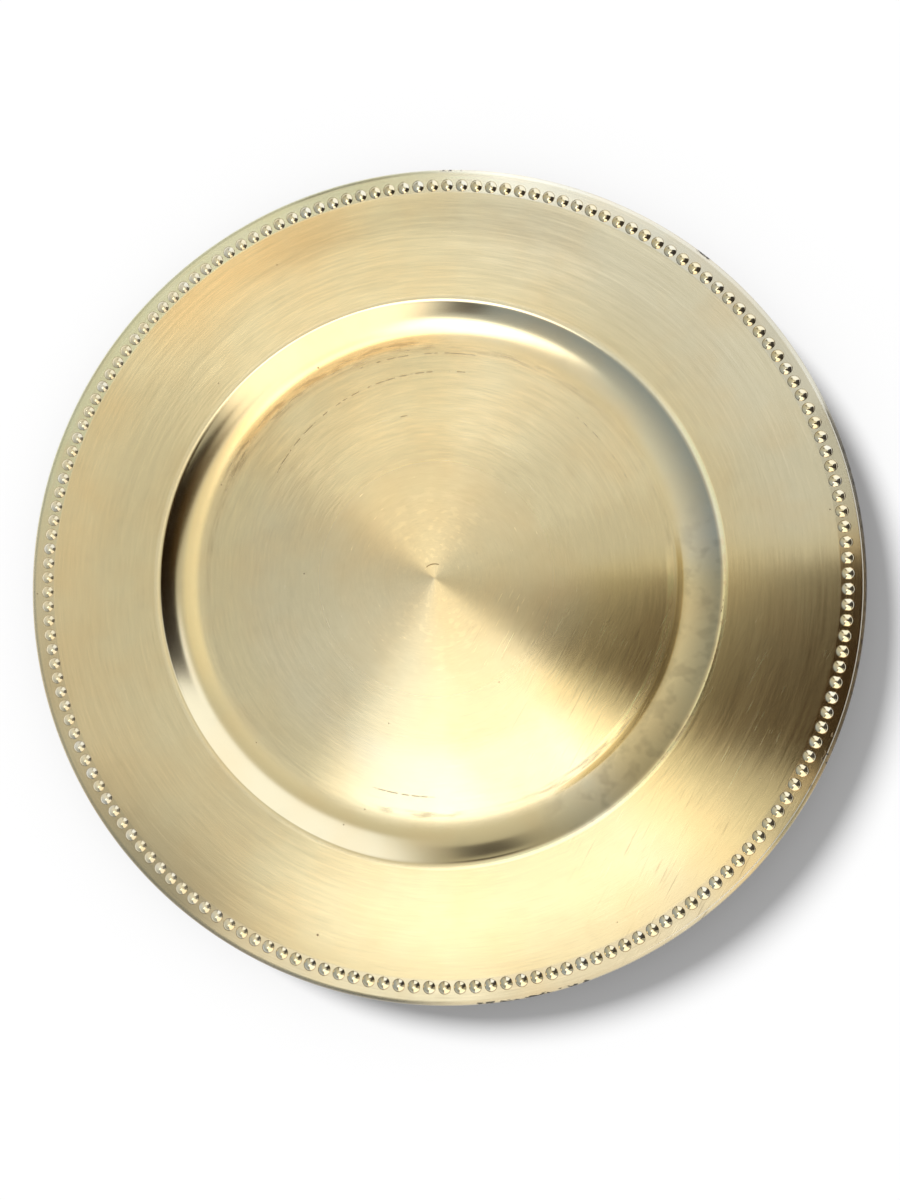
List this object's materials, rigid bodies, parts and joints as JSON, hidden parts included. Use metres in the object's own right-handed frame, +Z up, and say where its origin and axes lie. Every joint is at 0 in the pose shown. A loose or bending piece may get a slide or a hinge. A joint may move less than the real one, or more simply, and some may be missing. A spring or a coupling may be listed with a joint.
{
  "type": "charger plate",
  "caption": "Round charger plate with a sunken well, a wide sloping rim and a beaded border, in brushed gold over a dark moulded body.",
  "frame": {"origin": "centre of the foot ring's flat face, on the surface that the plate stands on", "axes": "+Z up along the plate's axis; +X passes through the middle of one bead"},
  "size_m": [0.33, 0.33, 0.0202],
  "materials": {
    "dark_resin": "dark umber moulded resin with a fine satin texture on the underside",
    "brushed_gilt": "metallised film under a tinted lacquer, pale champagne gold, brushed in circles on the floor and the rim and polished on the wall and the beads"
  },
  "bodies": {
    "root": {"moulded_body": "dark_resin", "gilt_facing": "brushed_gilt"}
  },
  "joints": []
}
